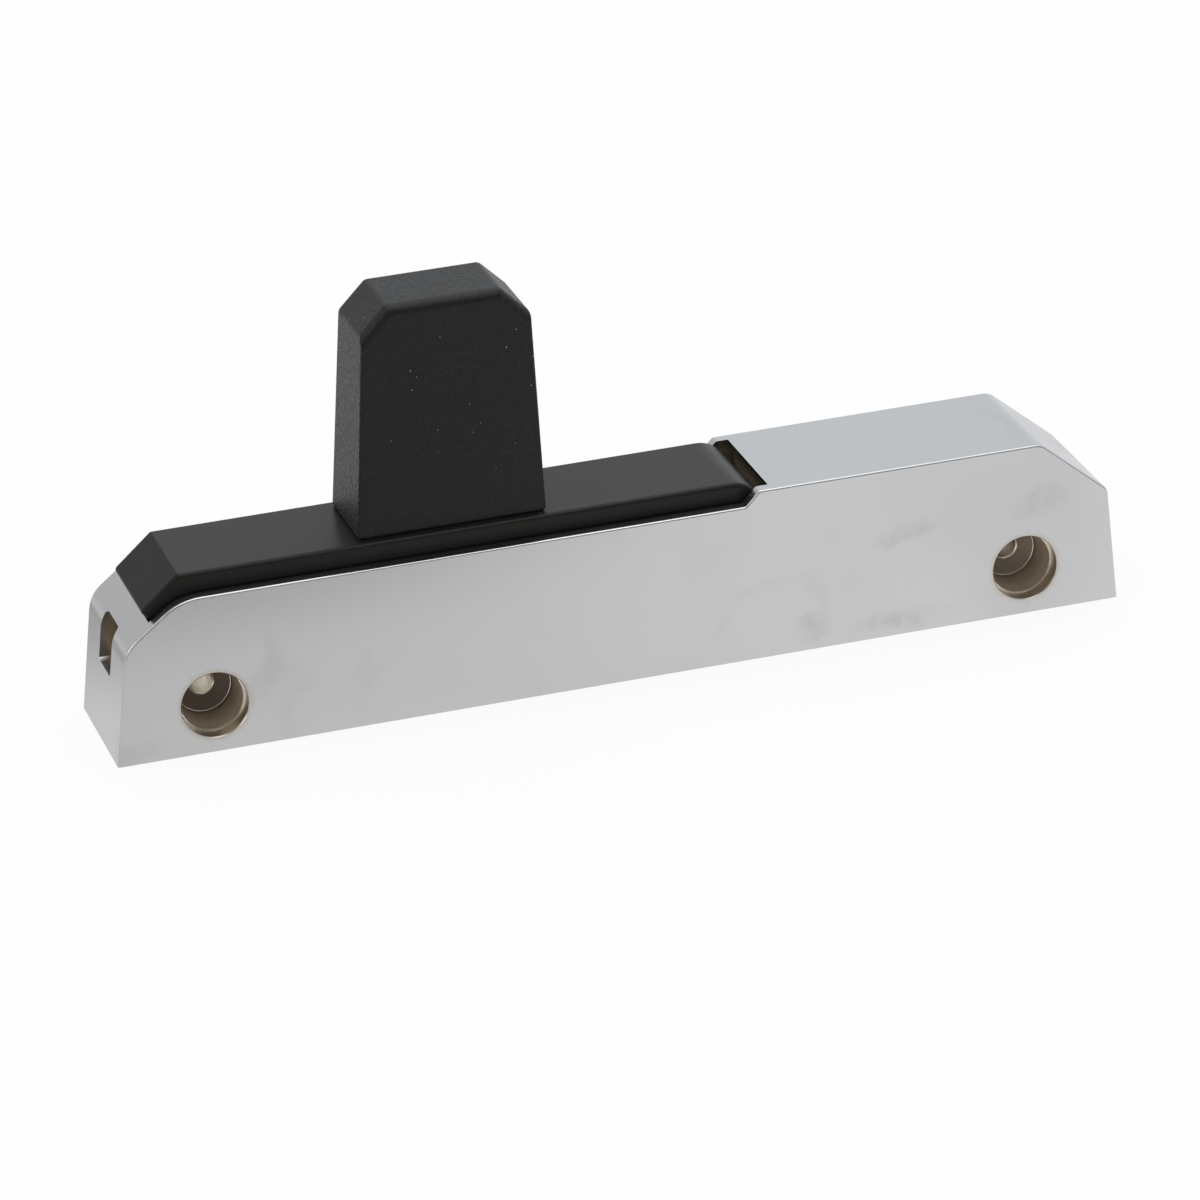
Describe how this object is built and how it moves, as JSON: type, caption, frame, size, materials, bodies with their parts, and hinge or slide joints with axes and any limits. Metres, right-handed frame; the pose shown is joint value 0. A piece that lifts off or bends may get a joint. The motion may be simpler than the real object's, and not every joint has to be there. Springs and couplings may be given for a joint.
{
  "type": "cold room door handle",
  "caption": "Chromed surface-mounted cold room latch handle with a black hinged lever and upright grip that draws a spring-loaded roller catch off the strike's hook.",
  "frame": {"origin": "middle of the housing's underside", "axes": "+X along the housing towards the pivot end, +Y through the depth towards the back face that lies on the door, +Z from the underside to the grip"},
  "size_m": [0.235, 0.035, 0.0947],
  "materials": {
    "chromed_zinc": "satin bright chrome plate outside, bare yellowish zinc in the holes and inside",
    "black_coated_zinc": "smooth satin black powder coat",
    "grip_plastic": "fine spark-eroded matt black moulding",
    "steel": "bright zinc plated steel",
    "spring_steel": "drawn spring wire",
    "brass": "turned brass",
    "nylon": "natural white nylon",
    "buffer_rubber": "soft black rubber"
  },
  "bodies": {
    "frame": {"housing": "chromed_zinc", "pivot_pin": "steel", "slide_rail_front": "nylon", "slide_rail_back": "nylon", "catch_spring": "spring_steel", "spring_guide_rod": "steel", "base_plate": "steel", "base_plate_screws": "steel", "lever_buffers": "buffer_rubber"},
    "lever_arm": {"lever": "black_coated_zinc", "grip": "grip_plastic", "grip_inserts": "brass", "grip_screws": "steel", "grip_screw_washers": "steel", "pivot_bushes": "nylon", "drive_pin": "steel", "drive_pin_clips": "spring_steel"},
    "catch": {"catch_carriage": "steel", "catch_pin": "steel", "roller_washers": "nylon"},
    "roller": {"catch_roller": "steel"}
  },
  "joints": [
    {"name": "lever_lift", "type": "hinge", "parent": "frame", "child": "lever_arm", "pos_m": [0.024, 0, 0.0324], "axis": [0, 1, 0], "range_deg": [0, 18], "stiffness_Nm_per_rad": 0.43, "springref_deg": -44.69},
    {"name": "catch_travel", "type": "slide", "parent": "frame", "child": "catch", "axis": [1, 0, 0], "range_m": [-0.0055, 0], "deforming": ["catch_spring"]},
    {"name": "roller_spin", "type": "hinge", "parent": "catch", "child": "roller", "pos_m": [-0.005, 0, 0.0142], "axis": [0, 1, 0], "continuous": true}
  ],
  "couplings": [
    {"joint": "catch_travel", "follows": "lever_lift", "m_per_rad": -0.0169}
  ]
}
